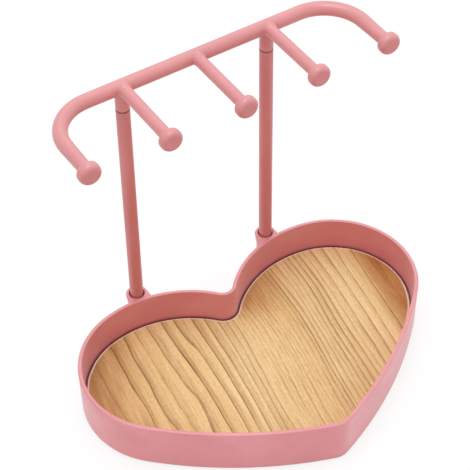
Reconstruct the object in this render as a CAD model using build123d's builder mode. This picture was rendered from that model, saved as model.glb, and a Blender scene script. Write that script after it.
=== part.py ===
"""Heart-shaped jewelry stand: an open tray with a wooden panel, two posts and a hanger bar with five pegs.

Millimetres, +Z up.  X runs along the hanger bar and the heart's tip points to -Y.  The origin is on the
standing surface, under the middle of the stand's overall box.
"""
import os
from math import atan, cos, degrees, radians, sin, sqrt, tan

from build123d import *

# Heart outline of the tray's rim, seen from above
lobe_spacing = 150.0       # between the centres of the two lobes
lobe_radius = 63.2
shoulder_radius = 86.0     # arc from a lobe towards the cleft
shoulder_angle = 76.0      # degrees from +X, where the shoulder's arc leaves the lobe's
side_radius = 316.0        # arc from a lobe towards the tip
tip_reach = 118.6          # from the line of lobe centres forward to the tip's sharp corner
cleft_round = 7.6
tip_round = 15.2

# Tray shell
tray_height = 38.4
wall = 3.0
wall_draft = 1.0           # degrees
floor = 2.5
rim_outer_round = 1.3
rim_outer_share = 0.55     # most of the thinnest wall at the rim that the outer round may take
rim_inner_round = 0.5
rim_inner_share = 0.3      # most of the thinnest wall at the rim that the inner round may take
base_round = 1.2
ledge_width = 5.0
rib_width = 2.0
rib_side_offset = 75.0     # from the middle rib to the rib on each side

# Wooden panel that lies on the ledge and the ribs
panel_depth = 26.4         # from the rim down to the panel's top
panel_thickness = 4.5
panel_gap = 1.5
panel_edge_round = 1.0

# Sockets on the back wall
socket_mouth_gap = 0.75    # ring gap round the post at the rim
socket_mouth_depth = 8.0
socket_fit = 0.3           # running clearance round the post below the mouth
socket_floor = 3.0
socket_lip = 2.6           # thickness of the collar round the mouth, at the rim
collar_depth = 11.0        # from the rim down to where the collar has tapered to the sleeve
sleeve_wall = 1.6          # thickness round the seat below the collar

# Posts, cut from thin tube, and their end plugs
post_spacing = 116.0
post_setback = 6.1         # from the back wall's outer face to the post axis
post_diameter = 10.0
tube_wall = 1.0
tube_edge = 0.2
plug_flange = 2.0
plug_stem = 14.0
plug_fit = 0.05
plug_core = 4.0
plug_lead = 0.8

# Hanger bar
bar_height = 201.2         # bar axis above the rim
bar_diameter = 10.5
bend_radius = 32.0
end_peg_spacing = 234.0
stub_drop = 19.0           # from the bar axis down to the seam on the post
spigot_length = 20.0
spigot_fit = 0.3
spigot_lead = 1.0
seam_reveal = 0.8          # height of the fine groove above the seam
seam_reveal_depth = 0.4

# Pegs and their knobs
peg_reach = 67.4           # from the bar axis to the front of a straight peg's knob
end_peg_reach = 65.9
peg_root_diameter = 8.9
peg_tip_diameter = 8.7
peg_flare = 0.5            # how much wider a straight peg's radius is where it leaves the bar
peg_flare_reach = 1.8      # length of the flare along the peg
peg_flare_round = 4.0
end_peg_tip_diameter = 9.3
knob_diameter = 16.1
knob_length = 7.8
knob_front_round = 3.4
knob_back_share = 0.62     # of the knob's step out from its peg that is rounded at the back
neck_share = 0.28          # of that step that is hollowed at the peg

# Foot pads in recesses under the floor
foot_diameter = 14.0
foot_thickness = 2.0
foot_recess = 0.8
foot_fit = 0.2
foot_edge = 0.4
front_foot_inset = 30.0    # from the tip to the front pad's centre
lobe_foot_inset = 23.2     # from a lobe's rim in to the centres of the two pads under it
side_foot_angle = -5.0     # degrees from +X
back_foot_angle = 75.0

# Heights
base_z = foot_thickness - foot_recess
rim_z = base_z + tray_height
panel_top_z = rim_z - panel_depth
panel_base_z = panel_top_z - panel_thickness
floor_top_z = base_z + floor
socket_floor_z = base_z + socket_floor
collar_z = rim_z - collar_depth
bar_z = rim_z + bar_height
seam_z = bar_z - stub_drop
spigot_end_z = seam_z - spigot_length

# Plan sizes that follow from the driving ones
post_radius = post_diameter / 2
bar_radius = bar_diameter / 2
knob_radius = knob_diameter / 2
mouth_radius = post_radius + socket_mouth_gap
ring_radius = mouth_radius + socket_lip
sleeve_radius = post_radius + socket_fit + sleeve_wall
tube_bore_radius = post_radius - tube_wall
spigot_radius = tube_bore_radius - spigot_fit
panel_inset = wall + panel_gap + panel_depth * tan(radians(wall_draft))
ledge_inset = panel_inset + ledge_width


# Centres of the outline's arcs on the +X side, with the line of lobe centres on Y = 0
lobe_centre = Vector(lobe_spacing / 2, 0)
shoulder_centre = lobe_centre - (shoulder_radius - lobe_radius) * Vector(
    cos(radians(shoulder_angle)), sin(radians(shoulder_angle))
)
cleft_centre = Vector(
    0, shoulder_centre.Y + sqrt((shoulder_radius + cleft_round) ** 2 - shoulder_centre.X**2)
)

# The side's arc passes through the tip's sharp corner, holds the lobe's circle and touches it
tip_corner = Vector(0, -tip_reach)
tip_to_lobe = lobe_centre - tip_corner
side_excess = side_radius**2 - (side_radius - lobe_radius) ** 2
side_step = (side_excess + tip_to_lobe.length**2) / (2 * tip_to_lobe.length)
side_centre = (
    tip_corner
    + tip_to_lobe.normalized() * side_step
    + tip_to_lobe.normalized().rotate(Axis.Z, 90) * sqrt(side_radius**2 - side_step**2)
)
tip_centre = Vector(0, side_centre.Y - sqrt((side_radius - tip_round) ** 2 - side_centre.X**2))

# The stand reaches from the tip to the back of the sockets, and the origin is midway
back_wall = shoulder_centre.Y + sqrt(shoulder_radius**2 - (post_spacing / 2 - shoulder_centre.X) ** 2)
post_line = back_wall + post_setback
tip_front = tip_centre.Y - tip_round
lobe_y = -(tip_front + post_line + ring_radius) / 2
tip_y = lobe_y + tip_front
post_y = lobe_y + post_line
post_places = {"left": -post_spacing / 2, "right": post_spacing / 2}


def rounded_stretch(centre, start, end):
    """Arc from start to end, shorter than a half circle, about a centre."""
    middle = centre + ((start + end) / 2 - centre).normalized() * (start - centre).length
    ThreePointArc(start, middle, end)


def heart(height, inset=0.0):
    """Heart outline at a height, drawn in from the rim's outer edge by an inset."""
    with BuildSketch(Plane.XY.offset(height)) as outline:
        with BuildLine(Plane.XY):
            shift = Vector(0, lobe_y)
            cleft = cleft_centre + shift
            shoulder = shoulder_centre + shift
            lobe = lobe_centre + shift
            side = side_centre + shift
            tip = tip_centre + shift
            start = cleft - Vector(0, cleft_round + inset)
            shoulder_start = shoulder + (cleft - shoulder).normalized() * (shoulder_radius - inset)
            lobe_start = lobe + (lobe - shoulder).normalized() * (lobe_radius - inset)
            lobe_end = lobe + (lobe - side).normalized() * (lobe_radius - inset)
            side_end = side + (tip - side).normalized() * (side_radius - inset)
            end = tip - Vector(0, tip_round - inset)
            rounded_stretch(cleft, start, shoulder_start)
            rounded_stretch(shoulder, shoulder_start, lobe_start)
            rounded_stretch(lobe, lobe_start, lobe_end)
            rounded_stretch(side, lobe_end, side_end)
            rounded_stretch(tip, side_end, end)
            mirror(about=Plane.YZ)
        make_face()
    return outline.sketch


def upright_plane(x, y):
    """Plane for profiles turned about the vertical axis at x, y: its own Y is the height."""
    return Plane(origin=(x, y, 0), x_dir=(1, 0, 0), z_dir=(0, -1, 0))


foot_places = {"front": (0, tip_y + front_foot_inset)}
for hand, sign in {"left": -1, "right": 1}.items():
    for place, angle in {"side": side_foot_angle, "back": back_foot_angle}.items():
        foot_places[f"{hand}_{place}"] = (
            sign * (lobe_spacing / 2 + (lobe_radius - lobe_foot_inset) * cos(radians(angle))),
            lobe_y + (lobe_radius - lobe_foot_inset) * sin(radians(angle)),
        )

def boss_outline(height, post_x, radius):
    """Outline of a socket's boss at a height: round behind the post, and straight forward into the tray."""
    with BuildSketch(Plane.XY.offset(height)) as outline:
        with Locations((post_x, post_y)):
            Circle(radius)
            Rectangle(2 * radius, post_setback + 2 * ring_radius, align=(Align.CENTER, Align.MAX))
    return outline.sketch


os.makedirs("parts", exist_ok=True)

# Tray shell
rim_wall = min(wall, socket_lip)
outer_fillet = min(rim_outer_round, rim_outer_share * rim_wall)
inner_fillet = min(rim_inner_round, rim_inner_share * rim_wall)
with BuildPart() as tray_shell:
    # Heart, drawn at the rim and drafted down to the base
    extrude(heart(rim_z), amount=-tray_height, taper=wall_draft)
    fillet(tray_shell.faces().sort_by(Axis.Z)[0].edges(), base_round)
    fillet(tray_shell.faces().sort_by(Axis.Z)[-1].edges(), outer_fillet)
    # Socket bosses: a sleeve up the wall, under a collar that widens to the rim
    for post_x in post_places.values():
        with BuildPart(mode=Mode.PRIVATE) as boss:
            extrude(boss_outline(collar_z, post_x, sleeve_radius), amount=base_z - collar_z, taper=wall_draft)
            extrude(
                boss_outline(rim_z, post_x, ring_radius),
                amount=-collar_depth,
                taper=degrees(atan((ring_radius - sleeve_radius) / collar_depth)),
            )
            fillet(boss.faces().sort_by(Axis.Z)[0].edges(), base_round)
            fillet(boss.faces().sort_by(Axis.Z)[-1].edges(), outer_fillet)
        add(boss.part)
    # The space above the panel, then the space under it with the ledge and the ribs left standing
    extrude(heart(rim_z, wall), amount=panel_base_z - rim_z, taper=wall_draft, mode=Mode.SUBTRACT)
    with BuildSketch(Plane.XY.offset(panel_base_z)):
        add(heart(0, ledge_inset))
        with Locations((-rib_side_offset, lobe_y), (0, lobe_y), (rib_side_offset, lobe_y)):
            Rectangle(rib_width, 2 * tip_reach, mode=Mode.SUBTRACT)
        with Locations((0, lobe_y)):
            Rectangle(2 * (lobe_spacing + lobe_radius), rib_width, mode=Mode.SUBTRACT)
    extrude(amount=floor_top_z - panel_base_z, mode=Mode.SUBTRACT)
    # Socket bores: a wide mouth and a close seat below it
    for post_x in post_places.values():
        with BuildSketch(Plane.XY.offset(rim_z)):
            with Locations((post_x, post_y)):
                Circle(mouth_radius)
        extrude(amount=-socket_mouth_depth, mode=Mode.SUBTRACT)
        with BuildSketch(Plane.XY.offset(rim_z)):
            with Locations((post_x, post_y)):
                Circle(post_radius + socket_fit)
        extrude(amount=socket_floor_z - rim_z, mode=Mode.SUBTRACT)
    # Recesses for the foot pads
    with BuildSketch(Plane.XY.offset(base_z)):
        with Locations(*foot_places.values()):
            Circle(foot_diameter / 2 + foot_fit)
    extrude(amount=foot_recess, mode=Mode.SUBTRACT)
    # Rounds round the inside of the rim and the sockets' mouths
    openings = tray_shell.faces().sort_by(Axis.Z)[-1].inner_wires()
    fillet([edge for opening in openings for edge in opening.edges()], inner_fillet)
tray_shell.part.label = "tray_shell"
export_step(tray_shell.part, "parts/tray_shell.step")

# Wooden panel
with BuildPart() as wood_panel:
    extrude(heart(panel_base_z, panel_inset), amount=panel_thickness)
    fillet(wood_panel.edges().group_by(Axis.Z)[-1], panel_edge_round)
wood_panel.part.label = "wood_panel"
export_step(wood_panel.part, "parts/wood_panel.step")

# Posts and their end plugs
for hand, post_x in post_places.items():
    tube_base_z = socket_floor_z + plug_flange
    with BuildPart() as post:
        with BuildSketch(Plane.XY.offset(tube_base_z)):
            with Locations((post_x, post_y)):
                Circle(post_radius)
                Circle(tube_bore_radius, mode=Mode.SUBTRACT)
        extrude(amount=seam_z - tube_base_z)
        chamfer(post.edges().filter_by(GeomType.CIRCLE), tube_edge)
    post.part.label = f"{hand}_post"
    export_step(post.part, f"parts/{hand}_post.step")

    with BuildPart() as plug:
        with BuildSketch(upright_plane(post_x, post_y)):
            with BuildLine():
                Polyline(
                    (0, socket_floor_z),
                    (post_radius, socket_floor_z),
                    (post_radius, tube_base_z),
                    (tube_bore_radius - plug_fit, tube_base_z),
                    (tube_bore_radius - plug_fit, tube_base_z + plug_stem - plug_lead),
                    (tube_bore_radius - plug_fit - plug_lead, tube_base_z + plug_stem),
                    (0, tube_base_z + plug_stem),
                    close=True,
                )
            make_face()
        revolve(axis=Axis((post_x, post_y, 0), (0, 0, 1)))
        with BuildSketch(Plane.XY.offset(tube_base_z + plug_stem)):
            with Locations((post_x, post_y)):
                Circle(plug_core / 2)
        extrude(amount=-plug_stem, mode=Mode.SUBTRACT)
    plug.part.label = f"{hand}_post_plug"
    export_step(plug.part, f"parts/{hand}_post_plug.step")


def peg(x, root, root_rounds, reach, tip_diameter):
    """Peg with a mushroom knob, turned about its own axis, which points forward from the bar.

    The root lists its profile's first points, each as a radius and a distance from the bar's axis.
    """
    knob_back = reach - knob_length
    knob_step = knob_radius - tip_diameter / 2
    start = root[0][1]
    plane = Plane(origin=(x, post_y, bar_z), x_dir=(1, 0, 0), z_dir=(0, 0, -1))
    with BuildSketch(plane) as profile:
        with BuildLine():
            FilletPolyline(
                (0, start),
                *root,
                (tip_diameter / 2, knob_back),
                (knob_radius, knob_back),
                (knob_radius, reach),
                (0, reach),
                radius=(*root_rounds, neck_share * knob_step, knob_back_share * knob_step, knob_front_round),
            )
            Line((0, reach), (0, start))
        make_face()
    revolve(profile.sketch, axis=Axis((x, post_y, bar_z), (0, -1, 0)))


# Hanger bar with its bent ends, pegs, stubs and spigots
with BuildPart() as hanger_bar:
    end_x = end_peg_spacing / 2
    with BuildLine(Plane.XY.offset(bar_z)) as bar_route:
        straight = Line((bend_radius - end_x, post_y), (end_x - bend_radius, post_y))
        JernArc(straight @ 0, -(straight % 0), bend_radius, 90)
        JernArc(straight @ 1, straight % 1, bend_radius, -90)
    route = bar_route.wire()
    with BuildSketch(Plane(origin=route @ 0, x_dir=(0, 0, 1), z_dir=route % 0)):
        Circle(bar_radius)
    sweep(path=route)
    for end_peg_x in (-end_x, end_x):
        peg(end_peg_x, [(bar_radius, bend_radius)], [0], end_peg_reach, end_peg_tip_diameter)
    flared_root = [
        (peg_root_diameter / 2 + peg_flare, 0),
        (peg_root_diameter / 2 + peg_flare, bar_radius),
        (peg_root_diameter / 2, bar_radius + peg_flare_reach),
    ]
    for peg_x in (-post_spacing / 2, 0, post_spacing / 2):
        peg(peg_x, flared_root, [0, 0, peg_flare_round], peg_reach, peg_tip_diameter)
    for post_x in post_places.values():
        with BuildSketch(upright_plane(post_x, post_y)):
            with BuildLine():
                Polyline(
                    (0, bar_z),
                    (post_radius, bar_z),
                    (post_radius, seam_z + seam_reveal),
                    (post_radius - seam_reveal_depth, seam_z + seam_reveal),
                    (post_radius - seam_reveal_depth, seam_z),
                    (spigot_radius, seam_z),
                    (spigot_radius, spigot_end_z + spigot_lead),
                    (spigot_radius - spigot_lead, spigot_end_z),
                    (0, spigot_end_z),
                    close=True,
                )
            make_face()
        revolve(axis=Axis((post_x, post_y, 0), (0, 0, 1)))
hanger_bar.part.label = "hanger_bar"
export_step(hanger_bar.part, "parts/hanger_bar.step")

# Foot pads
for name, (foot_x, foot_y) in foot_places.items():
    with BuildPart() as foot:
        with BuildSketch():
            with Locations((foot_x, foot_y)):
                Circle(foot_diameter / 2)
        extrude(amount=foot_thickness)
        fillet(foot.edges().group_by(Axis.Z)[0], foot_edge)
    foot.part.label = f"{name}_foot"
    export_step(foot.part, f"parts/{name}_foot.step")
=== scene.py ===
"""Looks for the heart-shaped jewelry stand: satin pink mouldings, coated posts and a pale wooden panel.

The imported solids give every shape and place.  This file gives them their finishes, adds the marks that the
moulds leave under the tray, and sets up the stage, the lights and the camera.  Metres throughout, +Z up.
"""
import math

import bmesh
import bpy
from bpy.props import FloatProperty, FloatVectorProperty, PointerProperty
from mathutils import Matrix, Vector


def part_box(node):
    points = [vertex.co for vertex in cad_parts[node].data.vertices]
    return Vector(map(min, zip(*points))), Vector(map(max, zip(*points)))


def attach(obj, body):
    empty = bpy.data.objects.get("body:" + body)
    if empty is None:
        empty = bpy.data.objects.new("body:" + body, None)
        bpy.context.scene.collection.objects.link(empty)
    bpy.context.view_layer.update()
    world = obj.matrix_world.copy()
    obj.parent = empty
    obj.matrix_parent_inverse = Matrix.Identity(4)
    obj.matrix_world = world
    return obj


bl_info = {
    "name": "Heart jewelry stand",
    "version": (1, 0, 0),
    "blender": (4, 5, 0),
    "location": "View3D > Sidebar > Stand",
    "description": "Finishes, moulding marks and studio stage for a heart-shaped jewelry stand",
    "category": "Object",
}

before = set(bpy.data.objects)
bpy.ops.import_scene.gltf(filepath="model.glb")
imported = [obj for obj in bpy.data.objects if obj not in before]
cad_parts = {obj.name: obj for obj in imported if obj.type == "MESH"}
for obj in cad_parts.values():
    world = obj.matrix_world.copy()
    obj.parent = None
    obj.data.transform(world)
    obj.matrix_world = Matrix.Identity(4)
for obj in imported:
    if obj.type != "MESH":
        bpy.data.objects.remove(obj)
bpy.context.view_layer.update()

MM = 0.001
WHITE = "#FFFFFF"

# Socket places of the colour form of the Mix node
MIX_FACTOR, MIX_A, MIX_B, MIX_RESULT = 0, 6, 7, 2

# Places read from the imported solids
tray_low, tray_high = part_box("tray_shell")
panel_low, panel_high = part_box("wood_panel")
post_low, post_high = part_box("left_post")
post_line_y = (post_low.y + post_high.y) / 2
rim_z = tray_high.z


def linear(hex_colour):
    """Linear RGBA of an sRGB hex colour."""
    channels = [int(hex_colour[place : place + 2], 16) / 255 for place in (1, 3, 5)]
    return [c / 12.92 if c <= 0.04045 else ((c + 0.055) / 1.055) ** 2.4 for c in channels] + [1.0]


def fill(tree, node, inputs):
    """Sets inputs of a node, each to a plain value or to a link from another node's output."""
    for socket, value in inputs.items():
        if isinstance(value, bpy.types.NodeSocket):
            tree.links.new(value, node.inputs[socket])
        else:
            node.inputs[socket].default_value = value


def add_node(tree, kind, inputs=None, **settings):
    """Adds a node with its settings and its inputs."""
    node = tree.nodes.new(kind)
    for name, value in settings.items():
        setattr(node, name, value)
    fill(tree, node, inputs or {})
    return node


def calculate(tree, operation, *values):
    """Result of a Math node."""
    return add_node(tree, "ShaderNodeMath", dict(enumerate(values)), operation=operation).outputs["Value"]


def vector_math(tree, operation, *values):
    """Outputs of a Vector Math node."""
    return add_node(tree, "ShaderNodeVectorMath", dict(enumerate(values)), operation=operation).outputs


def coordinate(tree, vector, axis):
    """One coordinate of a vector."""
    return add_node(tree, "ShaderNodeSeparateXYZ", {"Vector": vector}).outputs[axis]


def rescale(tree, value, start=0.0, stop=1.0, low=0.0, high=1.0, smooth=False):
    """Turns the stretch from start to stop into the one from low to high, and holds the ends beyond it."""
    return add_node(
        tree,
        "ShaderNodeMapRange",
        {"Value": value, "From Min": start, "From Max": stop, "To Min": low, "To Max": high},
        interpolation_type="SMOOTHSTEP" if smooth else "LINEAR",
    ).outputs["Result"]


def mix(tree, share, first, second, blend="MIX"):
    """A first colour with a share of a second one laid over it."""
    return add_node(
        tree,
        "ShaderNodeMix",
        {MIX_FACTOR: share, MIX_A: first, MIX_B: second},
        data_type="RGBA",
        blend_type=blend,
    ).outputs[MIX_RESULT]


def ramp(tree, value, stops):
    """Colour at a value, between stops that each have a place and a colour or a level of grey."""
    node = add_node(tree, "ShaderNodeValToRGB", {"Fac": value})
    elements = node.color_ramp.elements
    while len(elements) < len(stops):
        elements.new(1.0)
    for element, (place, tone) in zip(elements, stops):
        element.position = place
        element.color = (tone, tone, tone, 1.0) if isinstance(tone, float) else tone
    return node.outputs["Color"]


def curve(tree, value, points):
    """Height of a smooth curve through points, at a value from 0 to 1."""
    node = add_node(tree, "ShaderNodeFloatCurve", {"Value": value})
    line = node.mapping.curves[0]
    while len(line.points) < len(points):
        line.points.new(1.0, 1.0)
    for point, (x, y) in zip(line.points, points):
        point.location = (x, y)
        point.handle_type = "AUTO_CLAMPED"
    node.mapping.update()
    return node.outputs["Value"]


def empty_tree(owner):
    """The cleared node tree of a new material or world."""
    owner.use_nodes = True
    owner.node_tree.nodes.clear()
    return owner.node_tree


def start_material(name):
    """An empty node material with its shader joined to its output."""
    material = bpy.data.materials.new(name)
    tree = empty_tree(material)
    shader = add_node(tree, "ShaderNodeBsdfPrincipled")
    add_node(tree, "ShaderNodeOutputMaterial", {"Surface": shader.outputs["BSDF"]})
    return material, tree, shader


def millimetres(tree, turn=0.0):
    """Object coordinates in millimetres, turned about Z."""
    place = add_node(tree, "ShaderNodeTexCoord")
    return add_node(
        tree,
        "ShaderNodeMapping",
        {"Vector": place.outputs["Object"], "Scale": (1 / MM, 1 / MM, 1 / MM), "Rotation": (0, 0, turn)},
    ).outputs["Vector"]


def mottle(tree, vector, size, detail=2.0, roughness=0.5, stretch=(1.0, 1.0, 1.0)):
    """Noise whose spots are about a size in millimetres across, drawn out along each axis by a stretch."""
    scale = tuple(1 / (size * longer) for longer in stretch)
    scaled = add_node(tree, "ShaderNodeMapping", {"Vector": vector, "Scale": scale})
    return add_node(
        tree,
        "ShaderNodeTexNoise",
        {"Vector": scaled.outputs["Vector"], "Scale": 1.0, "Detail": detail, "Roughness": roughness},
    ).outputs["Fac"]


def surface_normal(tree):
    """Direction of the bare surface."""
    return add_node(tree, "ShaderNodeNewGeometry").outputs["Normal"]


def rounded_normal(tree, radius, samples=6):
    """Direction of the surface with its creases and edges rounded."""
    return add_node(tree, "ShaderNodeBevel", {"Radius": radius}, samples=samples).outputs["Normal"]


def flatness(tree, radius, samples=6):
    """How well the surface keeps its direction within a radius: 1 on flat faces and less beside edges."""
    rounded = rounded_normal(tree, radius, samples)
    return vector_math(tree, "DOT_PRODUCT", rounded, surface_normal(tree))["Value"]


def rubbed_edges(tree, radius, breakup):
    """Mask of the edges that hands and cloths rub, broken up by a noise."""
    edge = rescale(tree, flatness(tree, radius), start=0.995, stop=0.85)
    return calculate(tree, "MULTIPLY", edge, breakup)


def crevice_shade(tree):
    """Mask of the deep gaps, up to about 2 mm wide, that painted shade darkens."""
    open_share = add_node(tree, "ShaderNodeAmbientOcclusion", {"Distance": 3.0 * MM}, samples=8)
    return rescale(tree, open_share.outputs["AO"], start=0.62, stop=0.25, high=0.9)


def smudged_gloss(tree, smudge, roughness):
    """Roughness that smudges lower or raise a little about its usual value."""
    smoother, rougher = 0.05, 0.07
    low, high = roughness - smoother, roughness + rougher
    return rescale(tree, smudge, start=0.25, stop=0.75, low=low, high=high)


def satin_moulding(name, finish, parting_z=None):
    """Satin moulded ABS: an even pink skin with the mould's fine grain, paler and smoother where rubbed.

    It is coloured through and through, so wear only polishes and pales it.  The skin has a low, wide gloss
    that lays a pale veil over it where it turns away from the eye.
    """
    material, tree, shader = start_material(name)
    place = millimetres(tree)
    # Slow shifts of shade from the melt's flow, tens of millimetres long
    flow = mottle(tree, place, size=38.0, detail=3.0, stretch=(1.0, 1.0, 0.6))
    # Mould grain is about 0.1 mm; drawn at 0.9 mm so that it shows
    mould_grain = mottle(tree, place, size=0.9, roughness=0.6)
    smudge = mottle(tree, place, size=9.0, detail=4.0, roughness=0.6)
    shade = ramp(tree, flow, [(0.30, finish.deep), (0.52, finish.main), (0.74, finish.light)])
    speck = rescale(tree, mould_grain, start=0.3, stop=0.7, high=0.10)
    grained = mix(tree, speck, shade, finish.light)
    # Painted highlight: upper sides are paled, as if lit from above
    facing = coordinate(tree, surface_normal(tree), "Z")
    painted_top_light = rescale(tree, facing, start=-0.1, stop=0.8, high=finish.top_highlight)
    top_lit = mix(tree, painted_top_light, grained, finish.edge)
    edges = rubbed_edges(tree, radius=1.0 * MM, breakup=smudge)
    rubbed = mix(tree, edges, top_lit, finish.edge)
    # Painted shade: deep gaps, such as the one round the panel, are darkened to a deep red
    dusted_and_shaded = mix(tree, crevice_shade(tree), rubbed, finish.grime_and_shade)
    # Rubbing polishes the edges
    polish = -0.12
    gloss = smudged_gloss(tree, smudge, finish.roughness)
    polished = calculate(tree, "MULTIPLY_ADD", edges, polish, gloss)
    relief = mould_grain
    if parting_z is not None:
        # The mould's halves meet on the bar's middle plane and leave a hair-fine raised line
        half_width, rise = 0.2, 0.6
        height = coordinate(tree, place, "Z")
        on_line = calculate(tree, "COMPARE", height, parting_z / MM, half_width)
        relief = calculate(tree, "MULTIPLY_ADD", on_line, rise, mould_grain)
    # Creases look rounded, and the mould's grain lies on top
    rounded = rounded_normal(tree, radius=0.6 * MM)
    skin = add_node(
        tree,
        "ShaderNodeBump",
        {"Height": relief, "Strength": 0.12, "Distance": 0.15 * MM, "Normal": rounded},
    )
    looks = {
        "Base Color": dusted_and_shaded,
        "Roughness": polished,
        "Normal": skin.outputs["Normal"],
        "IOR": finish.ior,
        "Sheen Weight": finish.veil,
        "Sheen Roughness": 0.45,
    }
    fill(tree, shader, looks)
    return material


def coated_steel(name, finish):
    """Powder-coated steel tube: a satin pink film with slight orange peel, paler at the cut ends."""
    material, tree, shader = start_material(name)
    place = millimetres(tree)
    # Orange peel of a baked coat is 1 to 2 mm across
    peel = mottle(tree, place, size=1.6, detail=1.0)
    drift = mottle(tree, place, size=26.0, stretch=(1.0, 1.0, 3.0))
    smudge = mottle(tree, place, size=7.0, detail=4.0, roughness=0.6, stretch=(1.0, 1.0, 2.0))
    shade = ramp(tree, drift, [(0.32, finish.deep), (0.52, finish.main), (0.72, finish.light)])
    edges = rubbed_edges(tree, radius=0.5 * MM, breakup=smudge)
    rubbed = mix(tree, edges, shade, finish.edge)
    # Dust lies in the hairline where the hanger's stub meets the tube, over less than its last millimetre
    tube_end = post_high.z / MM
    first_dust, full_dust = tube_end - 0.9, tube_end - 0.5
    height = coordinate(tree, place, "Z")
    joint_line = rescale(tree, height, start=first_dust, stop=full_dust, high=0.8)
    skin = add_node(tree, "ShaderNodeBump", {"Height": peel, "Strength": 0.10, "Distance": 0.15 * MM})
    looks = {
        "Base Color": mix(tree, joint_line, rubbed, finish.grime_and_shade),
        "Roughness": smudged_gloss(tree, smudge, finish.roughness),
        "Normal": skin.outputs["Normal"],
        "IOR": finish.ior,
    }
    fill(tree, shader, looks)
    return material


def growth_rings(tree, place, wood):
    """Place across the board, from 0 at the left to 1 at the right, and the count of rings up to it."""
    across = coordinate(tree, place, "X")
    half_width = (panel_high.x - panel_low.x) / MM / 2
    # Wander of the rings: long swings over the whole board, and a shorter waviness that is strong on the left
    swing = mottle(tree, place, size=70.0, detail=1.0, stretch=(1.0, 2.2, 1.0))
    swung = calculate(tree, "MULTIPLY_ADD", swing, wood.swing / MM, across)
    wave = mottle(tree, place, size=15.0, detail=1.0, stretch=(1.0, 2.6, 1.0))
    wave_size = rescale(
        tree, across, start=-0.2 * half_width, stop=-0.7 * half_width, low=1.2, high=6.0, smooth=True
    )
    wandered = calculate(tree, "MULTIPLY_ADD", wave, wave_size, swung)
    # Lean and good years crowd some rings and part others, by up to some millimetres
    crowding = 7.0
    years = mottle(tree, place, size=9.0, detail=1.0, stretch=(1.0, 60.0, 1.0))
    uneven = calculate(tree, "MULTIPLY_ADD", years, crowding, wandered)
    # The mean of the swings and of the crowding is taken off again
    mean_shift = wood.swing / MM / 2 + crowding / 2
    board = rescale(tree, uneven, start=mean_shift - half_width, stop=mean_shift + half_width)
    # Share of the rings that lie to the left: wide rings, then close ones past the middle, then wide again
    count = curve(
        tree,
        board,
        [
            (0.0, 0.0),
            (0.14, 0.058),
            (0.38, 0.211),
            (0.49, 0.324),
            (0.60, 0.553),
            (0.80, 0.871),
            (0.86, 0.921),
            (1.0, 1.0),
        ],
    )
    return board, calculate(tree, "MULTIPLY", count, wood.rings)


def late_wood(tree, place, board, rings):
    """Late wood's share in each ring, and the same as it darkens and fades over the board."""
    ring = calculate(tree, "FRACT", rings)
    # Ring spacing over the board, in units of 20 mm, which turns a place in a ring into a distance
    spacing = curve(
        tree,
        board,
        [
            (0.0, 0.80),
            (0.14, 0.70),
            (0.26, 0.52),
            (0.36, 0.45),
            (0.43, 0.33),
            (0.50, 0.20),
            (0.55, 0.16),
            (0.64, 0.20),
            (0.76, 0.22),
            (0.83, 0.42),
            (0.93, 0.60),
            (1.0, 0.60),
        ],
    )
    # A ring grows pale and open, darkens over a few millimetres, and stops at a dark line under 1 mm wide
    before_end = calculate(tree, "SUBTRACT", 1.0, ring)
    close_late = ramp(
        tree,
        calculate(tree, "MULTIPLY", before_end, spacing),
        [(0.0, 0.6), (0.01, 1.0), (0.035, 1.0), (0.06, 0.42), (0.14, 0.2), (0.28, 0.06), (0.5, 0.0)],
    )
    # Flat-sawn at the left, the line has a crisp edge and a brown band of coarse early wood follows it
    wide_late = ramp(
        tree,
        calculate(tree, "MULTIPLY", ring, spacing),
        [(0.0, 1.0), (0.035, 1.0), (0.06, 0.40), (0.15, 0.30), (0.19, 0.38), (0.23, 0.08), (0.34, 0.0)],
    )
    flat_sawn = rescale(tree, board, start=0.48, stop=0.40, smooth=True)
    late = mix(tree, flat_sawn, close_late, wide_late)
    # How dark that line is over the board, and how it comes and goes along its length
    depth = curve(
        tree,
        board,
        [
            (0.0, 0.60),
            (0.20, 0.95),
            (0.38, 1.0),
            (0.46, 1.0),
            (0.495, 0.25),
            (0.58, 0.22),
            (0.65, 0.85),
            (0.80, 1.0),
            (0.90, 0.90),
            (1.0, 0.70),
        ],
    )
    fade = mottle(tree, place, size=26.0, detail=3.0, stretch=(0.5, 3.5, 1.0))
    fading = rescale(tree, fade, start=0.34, stop=0.58, low=0.6)
    # Each year's line has its own depth
    year = calculate(tree, "FLOOR", rings)
    chance = add_node(tree, "ShaderNodeTexWhiteNoise", {"W": year}, noise_dimensions="1D")
    year_depth = rescale(tree, chance.outputs["Value"], low=0.35, high=1.15)
    late_depth = calculate(tree, "MULTIPLY", depth, calculate(tree, "MULTIPLY", year_depth, fading))
    return late, calculate(tree, "MULTIPLY", late, late_depth)


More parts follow.
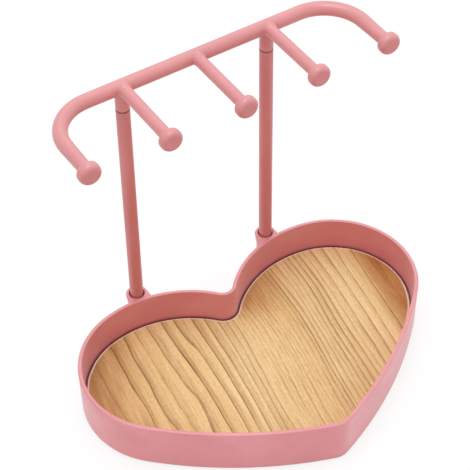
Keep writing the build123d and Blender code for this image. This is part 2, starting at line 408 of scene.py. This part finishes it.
def board_shade(tree, place, board, wood):
    """Shade of the board: pale in the middle, browner towards both ends, with broad cloudy streaks."""
    ends = curve(
        tree,
        board,
        [
            (0.0, 0.90),
            (0.10, 0.55),
            (0.28, 0.22),
            (0.46, 0.12),
            (0.60, 0.12),
            (0.80, 0.12),
            (0.88, 0.14),
            (0.93, 0.80),
            (0.98, 1.0),
        ],
    )
    cloudiness = 0.9
    cloud = mottle(tree, place, size=34.0, detail=3.0, stretch=(0.6, 2.2, 1.0))
    clouded = calculate(tree, "MULTIPLY_ADD", cloud, cloudiness, ends)
    # A flush of orange heartwood at the back of the right lobe, longer along the grain than across it
    middle = tuple(c / MM for c in wood.heartwood)
    squeeze = (1.0, 0.6, 0.0)
    off_middle = vector_math(tree, "SUBTRACT", place, middle)["Vector"]
    squeezed = vector_math(tree, "MULTIPLY", off_middle, squeeze)["Vector"]
    distance = vector_math(tree, "LENGTH", squeezed)["Value"]
    heartwood = rescale(tree, distance, start=38.0, stop=6.0, high=0.6, smooth=True)
    browned = calculate(tree, "ADD", clouded, heartwood)
    body = rescale(tree, browned, start=0.42, stop=1.45)
    shade = ramp(tree, body, [(0.0, wood.pale), (0.40, wood.golden), (1.0, wood.brown)])
    # Smoky brown bands along the grain at the left end
    band = mottle(tree, place, size=11.0, detail=3.0, roughness=0.55, stretch=(1.0, 9.0, 1.0))
    band_share = rescale(tree, band, start=0.44, stop=0.62)
    left_end = rescale(tree, board, start=0.23, stop=0.06, high=0.85, smooth=True)
    return mix(tree, calculate(tree, "MULTIPLY", band_share, left_end), shade, wood.smoke)


def lacquered_ash(name, wood):
    """Ash under thin matt lacquer: yearly rings with a dark late line, short open pores and silky fibres.

    The board is flat-sawn on the left, where the rings are wide and wander, and closer to quartered past the
    middle, where they are fine and straight.
    """
    material, tree, shader = start_material(name)
    # The rings run from back to front, turned a little about Z: X is then across them and Y along them
    place = millimetres(tree, turn=wood.grain_turn)
    board, rings = growth_rings(tree, place, wood)
    late, late_line = late_wood(tree, place, board, rings)
    ringed = mix(tree, late_line, board_shade(tree, place, board, wood), wood.late)

    # Fibres are hair-fine; drawn 0.8 mm wide and 40 mm long so that they show
    fibre = mottle(tree, place, size=0.8, detail=3.0, roughness=0.65, stretch=(1.0, 50.0, 1.0))
    fibre_share = rescale(tree, fibre, start=0.32, stop=0.70, high=0.75)
    silky = mix(tree, fibre_share, ringed, wood.fibre, blend="MULTIPLY")
    # Cut cells give the sanded face a fine tooth; drawn 1 mm across so that it shows
    tooth = mottle(tree, place, size=1.0, roughness=0.7, stretch=(1.0, 2.5, 1.0))
    tooth_share = rescale(tree, tooth, start=0.35, stop=0.65, high=0.55)
    toothed = mix(tree, tooth_share, silky, wood.fibre, blend="MULTIPLY")
    # Open pores are 0.2 mm by a few mm, in rows beside the late line; drawn 0.5 mm wide so that they show
    pore_strength = 0.36
    pore = mottle(tree, place, size=0.5, detail=1.0, stretch=(1.0, 22.0, 1.0))
    pore_level = rescale(tree, late, stop=0.5, low=0.72, high=0.46)
    pores = rescale(tree, calculate(tree, "SUBTRACT", pore, pore_level), stop=0.16)
    pored = mix(tree, calculate(tree, "MULTIPLY", pores, pore_strength), toothed, wood.pore)

    # The edge is rounded, and a painted highlight lays a pale line about 1 mm wide along it
    upward = coordinate(tree, surface_normal(tree), "Z")
    near_edge = rescale(tree, flatness(tree, radius=2.2 * MM, samples=8), start=0.998, stop=0.975)
    turned = rescale(tree, upward, start=0.995, stop=0.9)
    edge_highlighted = mix(tree, calculate(tree, "MAXIMUM", near_edge, turned), pored, wood.edge)
    # The sawn side shows the plies: face veneers, and a core that lies across them and takes the stain
    height = coordinate(tree, place, "Z")
    through = rescale(tree, height, start=panel_low.z / MM, stop=panel_high.z / MM)
    plies = ramp(
        tree,
        through,
        [
            (0.0, wood.golden),
            (0.18, wood.golden),
            (0.20, wood.core),
            (0.38, wood.core),
            (0.40, wood.golden),
            (0.60, wood.golden),
            (0.62, wood.core),
            (0.80, wood.core),
            (0.82, wood.golden),
        ],
    )
    sawn = mix(tree, fibre_share, plies, wood.fibre, blend="MULTIPLY")
    side = rescale(tree, upward, start=0.4, stop=0.1)
    sided = mix(tree, side, edge_highlighted, sawn)
    # Painted shade: the sawn side is darkened down in the gap round the panel
    dust_and_gap_shade = calculate(tree, "MULTIPLY", crevice_shade(tree), side)

    # Pores and soft early wood lie low in the lacquer
    late_rise = 0.5
    raised = calculate(tree, "MULTIPLY_ADD", late_line, late_rise, fibre)
    pitted = calculate(tree, "SUBTRACT", raised, pores)
    relief = add_node(tree, "ShaderNodeBump", {"Height": pitted, "Strength": 0.25, "Distance": 0.2 * MM})
    looks = {
        "Base Color": mix(tree, dust_and_gap_shade, sided, wood.grime_and_shade),
        "Roughness": rescale(tree, fibre, start=0.25, stop=0.75, low=0.50, high=0.64),
        "Normal": relief.outputs["Normal"],
        "IOR": 1.48,
        "Coat Weight": 0.10,
        "Coat Roughness": 0.35,
    }
    fill(tree, shader, looks)
    return material


def waxy_moulding(name, finish):
    """Undyed polyethylene or soft rubber: a waxy pale skin with dust held in its grain."""
    material, tree, shader = start_material(name)
    place = millimetres(tree)
    cloud = mottle(tree, place, size=4.0, detail=3.0)
    dust_and_gap_shade = mottle(tree, place, size=0.7, roughness=0.65)
    shade = ramp(tree, cloud, [(0.3, finish.deep), (0.5, finish.main), (0.7, finish.light)])
    dusted_and_shaded = rescale(tree, dust_and_gap_shade, start=0.45, stop=0.75, high=0.35)
    edges = rubbed_edges(tree, radius=0.4 * MM, breakup=dust_and_gap_shade)
    soiled = calculate(tree, "MAXIMUM", dusted_and_shaded, edges)
    unevenness = 0.08
    low, high = finish.roughness - unevenness, finish.roughness + unevenness
    skin = add_node(tree, "ShaderNodeBump", {"Height": dust_and_gap_shade, "Strength": 0.25, "Distance": 0.1 * MM})
    looks = {
        "Base Color": mix(tree, soiled, shade, finish.edge),
        "Roughness": rescale(tree, cloud, start=0.3, stop=0.7, low=low, high=high),
        "Normal": skin.outputs["Normal"],
        "IOR": finish.ior,
    }
    fill(tree, shader, looks)
    return material


def stamp(shape, place, radius, drop, lip):
    """A round mark under a moulding: a low disc that starts inside the wall and is dished within its lip."""
    rooted = 0.2 * MM
    start = Matrix.Translation(place + Vector((0, 0, rooted)))
    disc = bmesh.ops.create_circle(shape, cap_ends=True, segments=48, radius=radius, matrix=start)
    pulled = bmesh.ops.extrude_face_region(shape, geom=disc["verts"][0].link_faces[:])["geom"]
    lower = [item for item in pulled if isinstance(item, bmesh.types.BMVert)]
    bmesh.ops.translate(shape, verts=lower, vec=(0, 0, -rooted - drop))
    rim = [item for item in pulled if isinstance(item, bmesh.types.BMEdge)]
    face = [item for item in pulled if isinstance(item, bmesh.types.BMFace)]
    # The outer half of the lip stays flat, and its inner half slopes up to the dished floor
    for _ in range(2):
        bmesh.ops.inset_region(shape, faces=face, thickness=lip / 2)
    bmesh.ops.translate(shape, verts=face[0].verts[:], vec=(0, 0, drop / 2))
    bmesh.ops.bevel(
        shape,
        geom=rim,
        offset=drop / 3,
        affect="EDGES",
        segments=2,
        profile=0.5,
        material=-1,
        clamp_overlap=True,
    )


def finish_nodes(names, material):
    """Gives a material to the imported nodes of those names."""
    for name in names:
        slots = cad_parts[name].data.materials
        if not len(slots):
            slots.append(material)
        for place in range(len(slots)):
            slots[place] = material


def looked_at(tree):
    """1 where the camera looks, also by a reflection or through something clear, and 0 elsewhere."""
    rays = add_node(tree, "ShaderNodeLightPath")
    seen = calculate(tree, "MAXIMUM", rays.outputs["Is Camera Ray"], rays.outputs["Is Glossy Ray"])
    return calculate(tree, "MAXIMUM", seen, rays.outputs["Is Transmission Ray"])


def lay_floor(scene, stage):
    """A floor that keeps the shadow, partly plain white to the camera and in reflections."""
    mesh = bpy.data.meshes.new("floor")
    shape = bmesh.new()
    bmesh.ops.create_grid(shape, x_segments=1, y_segments=1, size=stage.floor_size / 2)
    shape.to_mesh(mesh)
    shape.free()
    floor = bpy.data.objects.new("floor", mesh)
    scene.collection.objects.link(floor)
    material = bpy.data.materials.new("matt_floor")
    tree = empty_tree(material)
    matt = add_node(tree, "ShaderNodeBsdfDiffuse", {"Color": stage.floor_colour})
    white = add_node(tree, "ShaderNodeEmission", {"Color": linear(WHITE), "Strength": 1.0})
    glow = calculate(tree, "MULTIPLY", looked_at(tree), stage.floor_glow)
    surface = add_node(
        tree, "ShaderNodeMixShader", {0: glow, 1: matt.outputs["BSDF"], 2: white.outputs["Emission"]}
    )
    add_node(tree, "ShaderNodeOutputMaterial", {"Surface": surface.outputs["Shader"]})
    mesh.materials.append(material)


def light_world(scene, stage):
    """Even light all round, white where the camera or a reflection looks past the floor."""
    scene.world = bpy.data.worlds.new("studio")
    tree = empty_tree(scene.world)
    level = rescale(tree, looked_at(tree), low=stage.world_level)
    sky = add_node(tree, "ShaderNodeBackground", {"Color": linear(WHITE), "Strength": level})
    add_node(tree, "ShaderNodeOutputWorld", {"Surface": sky.outputs["Background"]})


def hang_light(scene, name, power, width, place):
    """A square soft box at a place, aimed at the stand's middle."""
    light = bpy.data.lights.new(name, "AREA")
    light.shape = "SQUARE"
    light.size = width
    light.energy = power
    lamp = bpy.data.objects.new(name, light)
    lamp.location = place
    aim = Vector((0, 0, scene.stand.stage.aim_height)) - lamp.location
    lamp.rotation_euler = aim.to_track_quat("-Z", "Y").to_euler()
    scene.collection.objects.link(lamp)


def set_camera(scene, stage):
    """A camera at the photograph's place, turned by azimuth, elevation and roll."""
    sensor_width = 36.0
    far_limit = 40.0
    back = Vector(
        (
            math.sin(stage.azimuth) * math.cos(stage.elevation),
            -math.cos(stage.azimuth) * math.cos(stage.elevation),
            math.sin(stage.elevation),
        )
    )
    level_right = Vector((math.cos(stage.azimuth), math.sin(stage.azimuth), 0))
    level_up = back.cross(level_right)
    right = math.cos(stage.roll) * level_right + math.sin(stage.roll) * level_up
    up = math.cos(stage.roll) * level_up - math.sin(stage.roll) * level_right
    camera = bpy.data.cameras.new("camera")
    camera.sensor_width = sensor_width
    camera.lens = stage.lens
    camera.clip_end = far_limit
    eye = bpy.data.objects.new("camera", camera)
    eye_place = Vector(stage.camera_offset) + Vector((0, post_line_y, rim_z))
    eye.matrix_world = Matrix.Translation(eye_place) @ Matrix((right, up, back)).transposed().to_4x4()
    scene.collection.objects.link(eye)
    scene.camera = eye


def colour(name, description, hex_colour):
    """A colour that a user may change, with an sRGB hex default."""
    return FloatVectorProperty(
        name=name,
        description=description,
        default=linear(hex_colour),
        size=4,
        min=0.0,
        max=1.0,
        subtype="COLOR",
    )


def number(name, description, default, subtype="NONE"):
    """A number that a user may change."""
    return FloatProperty(name=name, description=description, default=default, subtype=subtype)


class MouldedFinish(bpy.types.PropertyGroup):
    """Shades and gloss of the pink tray."""

    main: colour("Main", "Usual shade", "#D37076")
    deep: colour("Deep", "Shade of the darker patches", "#CD676D")
    light: colour("Light", "Shade of the lighter patches", "#D97C82")
    # Also the colour of the painted highlight on upper sides
    edge: colour("Edge", "Shade of rubbed edges", "#D69EA0")
    # Colour of the painted shade in gaps and deep corners
    grime_and_shade: colour("Grime", "Dust in gaps and deep corners", "#9A0C02")
    roughness: number("Roughness", "Usual roughness", 0.40, "FACTOR")
    ior: number("IOR", "Index of refraction", 2.0)
    veil: number("Veil", "Pale sheen of the matt skin", 0.30, "FACTOR")
    # How far the painted highlight pales upper sides
    top_highlight: number("Bloom", "How far upper sides pale", 0.22, "FACTOR")


class MarkSettings(bpy.types.PropertyGroup):
    """Marks that the mould leaves under the tray."""

    pin_diameter: number("Pin", "Diameter of an ejector pin's mark", 9.0 * MM, "DISTANCE")
    pin_drop: number("Pin drop", "How far a pin's mark stands out", 0.25 * MM, "DISTANCE")
    pin_lip: number("Pin lip", "Width of the lip round a pin's mark", 0.6 * MM, "DISTANCE")
    gate_diameter: number("Gate", "Diameter of the trimmed gate", 5.0 * MM, "DISTANCE")
    gate_drop: number("Gate drop", "How far the trimmed gate stands out", 0.6 * MM, "DISTANCE")
    gate_lip: number("Gate lip", "Width of the lip round the gate", 1.2 * MM, "DISTANCE")


class HangerFinish(bpy.types.PropertyGroup):
    """Shades and gloss of the pink hanger bar with its pegs."""

    main: colour("Main", "Usual shade", "#C66C6B")
    deep: colour("Deep", "Shade of the darker patches", "#C06463")
    light: colour("Light", "Shade of the lighter patches", "#CE7675")
    # Also the colour of the painted highlight on upper sides
    edge: colour("Edge", "Shade of rubbed edges", "#DAA3A7")
    # Colour of the painted shade in gaps and deep corners
    grime_and_shade: colour("Grime", "Dust in gaps and deep corners", "#9A0C02")
    roughness: number("Roughness", "Usual roughness", 0.36, "FACTOR")
    ior: number("IOR", "Index of refraction", 1.62)
    veil: number("Veil", "Pale sheen of the matt skin", 0.25, "FACTOR")
    # How far the painted highlight pales upper sides
    top_highlight: number("Bloom", "How far upper sides pale", 0.42, "FACTOR")
    knob_diameter: number("Knob", "Diameter of the knobs on the pegs", 16.1 * MM, "DISTANCE")


class CoatedFinish(bpy.types.PropertyGroup):
    """Shades and gloss of the coated posts."""

    main: colour("Main", "Usual shade", "#C86F6D")
    deep: colour("Deep", "Shade of the darker patches", "#C36866")
    light: colour("Light", "Shade of the lighter patches", "#CD7876")
    edge: colour("Edge", "Shade of rubbed ends", "#E6A09F")
    grime_and_shade: colour("Grime", "Dust in the hairline at the upper end", "#5C1A16")
    roughness: number("Roughness", "Usual roughness", 0.36, "FACTOR")
    ior: number("IOR", "Index of refraction", 1.65)


class PlugFinish(bpy.types.PropertyGroup):
    """Shades and gloss of the plugs in the posts' ends."""

    main: colour("Main", "Usual shade", "#DAD6CE")
    deep: colour("Deep", "Shade of the darker patches", "#CFCAC1")
    light: colour("Light", "Shade of the lighter patches", "#E4E1DA")
    edge: colour("Edge", "Dust and rubbed edges", "#F0EEE9")
    roughness: number("Roughness", "Usual roughness", 0.50, "FACTOR")
    ior: number("IOR", "Index of refraction", 1.51)


class FootFinish(bpy.types.PropertyGroup):
    """Shades and gloss of the foot pads."""

    main: colour("Main", "Usual shade", "#D9D4CE")
    deep: colour("Deep", "Shade of the darker patches", "#C9C3BC")
    light: colour("Light", "Shade of the lighter patches", "#E3DFDA")
    edge: colour("Edge", "Dust and rubbed edges", "#EFECE8")
    roughness: number("Roughness", "Usual roughness", 0.70, "FACTOR")
    ior: number("IOR", "Index of refraction", 1.52)


class WoodFinish(bpy.types.PropertyGroup):
    """Shades and grain of the wooden panel."""

    pale: colour("Pale", "Early wood in the middle of the board", "#F4D9A8")
    golden: colour("Golden", "Usual early wood", "#EBC991")
    brown: colour("Brown", "Wood at the board's ends", "#B4722F")
    smoke: colour("Smoke", "Smoky bands at the left end", "#9C6E36")
    late: colour("Late", "Dark late line of a ring", "#8C5600")
    fibre: colour("Fibre", "Shade that fibres lay over the wood", "#E6D5B6")
    pore: colour("Pore", "Open pores", "#8A5812")
    # Colour of the painted highlight along the panel's rounded edge
    edge: colour("Edge", "Sanded edge", "#FFF0DC")
    core: colour("Core", "Inner plies on the sawn side", "#A9763F")
    # Colour of the painted shade in the gap round the panel
    grime_and_shade: colour("Grime", "Dust in the gap round the panel", "#5A0E02")
    rings: number("Rings", "Yearly rings across the board", 39.7)
    swing: number("Swing", "How far the rings swing to the side", 18.0 * MM, "DISTANCE")
    grain_turn: number("Grain turn", "Turn of the rings about Z", math.radians(8.0), "ANGLE")
    heartwood: FloatVectorProperty(
        name="Heartwood",
        description="Middle of the orange flush, across and along the turned grain",
        default=(0.022, 0.072, panel_high.z),
        subtype="TRANSLATION",
    )


class StageSettings(bpy.types.PropertyGroup):
    """Camera, lights and floor."""

    lens: number("Lens", "Focal length in mm on a 36 mm sensor", 124.82)
    azimuth: number("Azimuth", "Camera's turn about Z", math.radians(-32.5023), "ANGLE")
    elevation: number("Elevation", "Camera's height angle", math.radians(45.2505), "ANGLE")
    roll: number("Roll", "Camera's tilt about its own line of sight", math.radians(-0.743), "ANGLE")
    camera_offset: FloatVectorProperty(
        name="Camera place",
        description="From the rim's plane midway between the posts",
        default=(-0.441837, -0.740736, 0.898316),
        subtype="TRANSLATION",
    )
    floor_colour: colour("Floor", "Floor's colour", "#FAFAFA")
    floor_size: number("Floor size", "Side of the floor", 24.0, "DISTANCE")
    floor_glow: number("Floor white", "Share of plain white that the camera sees in the floor", 0.8)
    top_power: number("Top light", "Soft light overhead", 8.0, "POWER")
    back_power: number("Back light", "Soft light behind", 3.5, "POWER")
    front_power: number("Front light", "Soft light in front", 0.8, "POWER")
    right_power: number("Right light", "Soft light at the right", 2.2, "POWER")
    left_power: number("Left light", "Soft light at the left", 1.4, "POWER")
    aim_height: number("Aim", "Height of the spot that the lights are aimed at", 0.10, "DISTANCE")
    world_level: number("World", "Level of the even light all round", 0.74)


class StandSettings(bpy.types.PropertyGroup):
    """Everything that a user would change."""

    tray: PointerProperty(type=MouldedFinish)
    marks: PointerProperty(type=MarkSettings)
    hanger: PointerProperty(type=HangerFinish)
    post: PointerProperty(type=CoatedFinish)
    plug: PointerProperty(type=PlugFinish)
    foot: PointerProperty(type=FootFinish)
    wood: PointerProperty(type=WoodFinish)
    stage: PointerProperty(type=StageSettings)


class STAND_OT_tray(bpy.types.Operator):
    """Finish the moulded tray"""

    bl_idname = "stand.tray"
    bl_label = "Tray shell"

    def execute(self, context):
        finish_nodes(["tray_shell"], satin_moulding("satin_abs_tray", context.scene.stand.tray))
        return {"FINISHED"}


class STAND_OT_marks(bpy.types.Operator):
    """Stamp the ejector pins' marks and the trimmed gate under the tray"""

    bl_idname = "stand.marks"
    bl_label = "Mould marks"

    def execute(self, context):
        marks = context.scene.stand.marks
        width = tray_high.x - tray_low.x
        length = tray_high.y - tray_low.y
        shape = bmesh.new()
        # Pins stand in pairs about the middle line, at shares of the tray's width and length from its middle
        for across, along in ((0.22, 0.17), (0.29, -0.03), (0.13, -0.20)):
            for side in (-1, 1):
                place = Vector((side * across * width, along * length, tray_low.z))
                stamp(shape, place, marks.pin_diameter / 2, marks.pin_drop, marks.pin_lip)
        stamp(shape, Vector((0, 0, tray_low.z)), marks.gate_diameter / 2, marks.gate_drop, marks.gate_lip)
        bmesh.ops.recalc_face_normals(shape, faces=shape.faces[:])
        mesh = bpy.data.meshes.new("tray_mould_marks")
        shape.to_mesh(mesh)
        shape.free()
        piece = bpy.data.objects.new("tray_mould_marks", mesh)
        context.scene.collection.objects.link(piece)
        mesh.materials.append(bpy.data.materials["satin_abs_tray"])
        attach(piece, "tray")
        return {"FINISHED"}


class STAND_OT_hanger(bpy.types.Operator):
    """Finish the moulded hanger bar with its pegs"""

    bl_idname = "stand.hanger"
    bl_label = "Hanger bar"

    def execute(self, context):
        finish = context.scene.stand.hanger
        # The knobs are the hanger's highest pieces, and are centred on the bar's middle plane
        bar_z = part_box("hanger_bar")[1].z - finish.knob_diameter / 2
        finish_nodes(["hanger_bar"], satin_moulding("satin_abs_hanger", finish, parting_z=bar_z))
        return {"FINISHED"}


class STAND_OT_posts(bpy.types.Operator):
    """Finish the coated posts and the plugs in their ends"""

    bl_idname = "stand.posts"
    bl_label = "Posts and plugs"

    def execute(self, context):
        stand = context.scene.stand
        finish_nodes(["left_post", "right_post"], coated_steel("coated_steel_post", stand.post))
        plastic = waxy_moulding("moulded_polyethylene_plug", stand.plug)
        finish_nodes(["left_post_plug", "right_post_plug"], plastic)
        return {"FINISHED"}


class STAND_OT_panel(bpy.types.Operator):
    """Finish the wooden panel"""

    bl_idname = "stand.panel"
    bl_label = "Wooden panel"

    def execute(self, context):
        finish_nodes(["wood_panel"], lacquered_ash("lacquered_ash_panel", context.scene.stand.wood))
        return {"FINISHED"}


class STAND_OT_feet(bpy.types.Operator):
    """Finish the foot pads"""

    bl_idname = "stand.feet"
    bl_label = "Foot pads"

    def execute(self, context):
        pads = [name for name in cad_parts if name.endswith("_foot")]
        finish_nodes(pads, waxy_moulding("soft_rubber_foot", context.scene.stand.foot))
        return {"FINISHED"}


class STAND_OT_stage(bpy.types.Operator):
    """Lay the floor, hang the lights and set the camera"""

    bl_idname = "stand.stage"
    bl_label = "Stage"

    def execute(self, context):
        scene = context.scene
        stage = scene.stand.stage
        scene.view_settings.view_transform = "Standard"
        lay_floor(scene, stage)
        light_world(scene, stage)
        hang_light(scene, "top_light", stage.top_power, width=0.65, place=(-0.1, 0.1, 1.6))
        hang_light(scene, "back_light", stage.back_power, width=1.3, place=(0.55, 0.95, 1.25))
        hang_light(scene, "front_light", stage.front_power, width=1.0, place=(-0.35, -1.45, 0.95))
        hang_light(scene, "right_light", stage.right_power, width=0.9, place=(1.3, -0.35, 0.75))
        hang_light(scene, "left_light", stage.left_power, width=0.7, place=(-1.3, -0.15, 0.8))
        set_camera(scene, stage)
        return {"FINISHED"}


class STAND_PT_panel(bpy.types.Panel):
    """Lists the steps that dress the stand"""

    bl_idname = "STAND_PT_panel"
    bl_label = "Jewelry stand"
    bl_space_type = "VIEW_3D"
    bl_region_type = "UI"
    bl_category = "Stand"

    def draw(self, context):
        for step in steps:
            self.layout.operator(step.bl_idname)


steps = [
    STAND_OT_tray,
    STAND_OT_marks,
    STAND_OT_panel,
    STAND_OT_posts,
    STAND_OT_hanger,
    STAND_OT_feet,
    STAND_OT_stage,
]
groups = [
    MouldedFinish,
    MarkSettings,
    HangerFinish,
    CoatedFinish,
    PlugFinish,
    FootFinish,
    WoodFinish,
    StageSettings,
    StandSettings,
]


def register():
    for item in groups + steps + [STAND_PT_panel]:
        bpy.utils.register_class(item)
    bpy.types.Scene.stand = PointerProperty(type=StandSettings)


def unregister():
    del bpy.types.Scene.stand
    for item in reversed(groups + steps + [STAND_PT_panel]):
        bpy.utils.unregister_class(item)


def main():
    register()
    bpy.ops.stand.tray()
    bpy.ops.stand.marks()
    bpy.ops.stand.panel()
    bpy.ops.stand.posts()
    bpy.ops.stand.hanger()
    bpy.ops.stand.feet()
    bpy.ops.stand.stage()
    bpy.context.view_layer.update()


if __name__ == "__main__":
    main()
